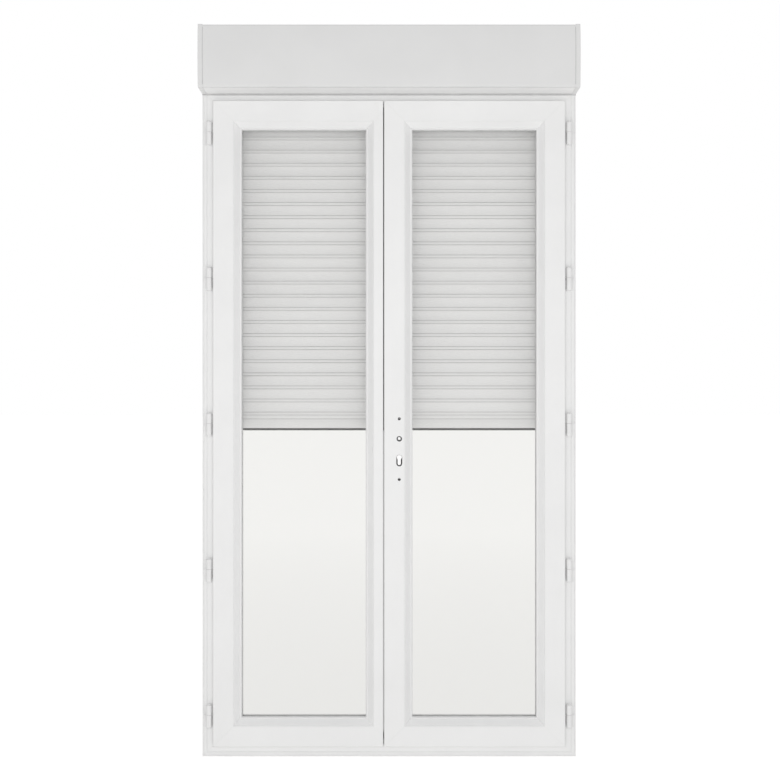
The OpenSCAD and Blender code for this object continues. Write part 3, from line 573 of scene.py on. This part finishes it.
def curtain_outline(low, high):
    """Outline of the hanging slats in Y and Z: hollow and ribbed at the joints on the room
    side, round on the outdoor side."""
    front, back = low.y, high.y - SLAT_BOW
    rib, deep = front + JOINT_SET_BACK, front + JOINT_DEPTH
    joints = []
    z = low.z + FIRST_JOINT
    while z + JOINT_HALF < high.z:
        joints.append(z)
        z += SLAT_PITCH
    foot = low.z - CURTAIN_FOOT
    bar_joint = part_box("shutter_bottom_bar")[1].z + BAR_JOINT
    room = [(deep, foot), (deep, bar_joint), (front, bar_joint)]
    outdoor = [(back, foot)]
    for i, z in enumerate(joints):
        z0, z1 = z - JOINT_HALF, z + JOINT_HALF
        groove0, groove1 = z - JOINT_GROOVE, z + JOINT_GROOVE
        room += [(front, z0), (deep, z0), (deep, z0 + JOINT_GROOVE), (rib, z0 + JOINT_GROOVE),
                 (rib, z1 - JOINT_GROOVE), (deep, z1 - JOINT_GROOVE), (deep, z1), (front, z1)]
        outdoor += [(back, groove0), (back - JOINT_DEPTH, groove0),
                    (back - JOINT_DEPTH, groove1), (back, groove1)]
        if i + 1 < len(joints):
            room += bowed_face(front, z1, joints[i + 1] - JOINT_HALF)
            outdoor += bowed_face(back, groove1, joints[i + 1] - JOINT_GROOVE)
    room.append((front, high.z))
    outdoor.append((back, high.z))
    return room + outdoor[::-1]


def add_curtain(materials):
    """The hanging slats with the bow and the double joint lines of such a curtain; the floors of
    the grooves take a darker grey as painted shade.
    """
    low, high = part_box("shutter_slats")
    outline = curtain_outline(low, high)
    bm = bmesh.new()
    add_bar(bm, outline, low.x, high.x)
    # The floors of the room-side grooves take the darker grey: painted shade in the grooves
    for face in bm.faces:
        if abs(face.calc_center_median().y - low.y - JOINT_DEPTH) < JOINT_TOLERANCE:
            face.material_index = 1
    curtain = add_piece("curtain_slats", bm, "curtain", "shutter_pvc", materials)
    curtain.data.materials.append(materials["shutter_groove_painted_shade"])
    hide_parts("shutter_slats")


def add_fine_pieces(materials):
    """The curtain's slats and lip, the faceplate's screws, and dark pieces that paint the shade in
    the handle's holes, under the box, at the box's joints and in the gaps at the hinges."""
    add_curtain(materials)
    add_handle_hole_painted_shade(materials)
    add_box_painted_shade_line(materials)
    add_cap_painted_shade(materials)
    add_seal_lip(materials)
    add_hinge_painted_shade("left", -1, materials)
    add_hinge_painted_shade("right", 1, materials)
    add_faceplate_screws(materials)


# Stage

def aim(obj, place, target):
    """Sets an object at a place with its -Z axis towards the target."""
    obj.location = place
    obj.rotation_euler = (Vector(target) - Vector(place)).to_track_quat("-Z", "Y").to_euler()


def link_lamp(name, data):
    """Puts a lamp into the scene and keeps its shape out of the picture and the glass."""
    obj = bpy.data.objects.new(name, data)
    obj.visible_camera = False
    obj.visible_glossy = False
    obj.visible_transmission = False
    bpy.context.scene.collection.objects.link(obj)
    return obj


def add_lamp(name, place, target, size, watts):
    """A soft rectangular lamp."""
    data = bpy.data.lights.new(name, "AREA")
    data.shape = "RECTANGLE"
    data.size, data.size_y = size
    data.energy = watts
    aim(link_lamp(name, data), place, target)


def add_sun(name):
    """Level light along -Y, which leaves the floor alone."""
    data = bpy.data.lights.new(name, "SUN")
    data.energy = SUN_STRENGTH
    data.angle = math.radians(SUN_SOFT_DEG)
    aim(link_lamp(name, data), SUN_PLACE, SUN_TARGET)


def make_world():
    """White where it is seen, an even soft surround where it lights."""
    world = bpy.data.worlds.new("surround")
    world.use_nodes = True
    tree = world.node_tree
    light = tree.nodes["Background"]
    light.inputs["Color"].default_value = WHITE
    light.inputs["Strength"].default_value = SURROUND_LEVEL
    white = tree.nodes.new("ShaderNodeBackground")
    white.inputs["Color"].default_value = WHITE
    white.inputs["Strength"].default_value = 1.0
    seen = ray_of(tree, "Is Camera Ray", "Is Glossy Ray", "Is Transmission Ray")
    mix_surface(
        tree, seen, light.outputs["Background"], white.outputs["Background"], "World Output")
    bpy.context.scene.world = world


def by_distance(tree, points, stops):
    """A level that runs between two (distance, level) stops about the origin."""
    away = tree.nodes.new("ShaderNodeVectorMath")
    away.operation = "LENGTH"
    tree.links.new(points, away.inputs[0])
    distances, levels = zip(*stops)
    return map_range(tree, away.outputs["Value"], distances, levels)


def emission(tree, colour, strength):
    """A glow with an even colour and the given strength."""
    glow = tree.nodes.new("ShaderNodeEmission")
    glow.inputs["Color"].default_value = colour
    tree.links.new(strength, glow.inputs["Strength"])
    return glow.outputs["Emission"]


def floor_material():
    """A pale matt surface that glows a little, more so to the camera, and that shows in gloss and
    through glass a tone that is darker near the door: a painted shadow of the door on the floor."""
    mat, tree, shader = new_material("floor")
    points = object_points(tree)
    low, high = [grey(level, FLOOR_TINT) for level in FLOOR_TONES]
    tone = ramp(tree, noise(tree, points, FLOOR_WAVES), low, high)
    tree.links.new(tone, shader.inputs["Base Color"])
    shader.inputs["Roughness"].default_value = FLOOR_ROUGHNESS
    shader.inputs["Specular IOR Level"].default_value = 0.0
    level = tree.nodes.new("ShaderNodeMix")
    # Inputs 0, 2 and 3 of a mix of numbers are its factor and the two numbers
    level.inputs[2].default_value = FLOOR_GLOW
    tree.links.new(ray_of(tree, "Is Camera Ray"), level.inputs[0])
    tree.links.new(by_distance(tree, points, FLOOR_WHITE), level.inputs[3])
    lit = tree.nodes.new("ShaderNodeAddShader")
    tree.links.new(shader.outputs["BSDF"], lit.inputs[0])
    tree.links.new(emission(tree, WHITE, level.outputs[0]), lit.inputs[1])
    # Darker near the door: a painted shadow of the door on the floor, seen in gloss and through
    # glass
    mirrored_painted_shadow = emission(tree, FLOOR_SEEN_COLOUR, by_distance(tree, points, FLOOR_SEEN_PAINTED_SHADOW))
    in_glass = ray_of(tree, "Is Glossy Ray", "Is Transmission Ray")
    mix_surface(tree, in_glass, lit.outputs["Shader"], mirrored_painted_shadow)
    return mat


def make_floor():
    """A pale floor that reads as white and keeps the object's shadow."""
    bpy.ops.mesh.primitive_grid_add(
        x_subdivisions=FLOOR_CELLS, y_subdivisions=FLOOR_CELLS, size=2 * FLOOR_HALF)
    floor = bpy.context.object
    floor.name = "floor"
    floor.location.z = cad_low.z - FLOOR_DROP
    floor.data.materials.append(floor_material())


def make_camera():
    """A level camera that looks along +Y."""
    data = bpy.data.cameras.new("camera")
    data.sensor_width = CAMERA_SENSOR_MM
    data.lens = CAMERA_LENS_MM
    camera = bpy.data.objects.new("camera", data)
    bpy.context.scene.collection.objects.link(camera)
    camera.location = CAMERA_PLACE
    camera.rotation_euler = (math.pi / 2, 0, 0)
    bpy.context.scene.camera = camera


def make_stage():
    """The surround, the floor and the lamps, in plain view settings."""
    bpy.context.scene.view_settings.view_transform = "Standard"
    make_world()
    make_floor()
    for name, lamp in LAMPS.items():
        add_lamp(name, **lamp)
    add_sun("outdoor_sun")


make_camera()
finishes = make_materials()
dress_nodes(finishes)
add_fine_pieces(finishes)
make_stage()
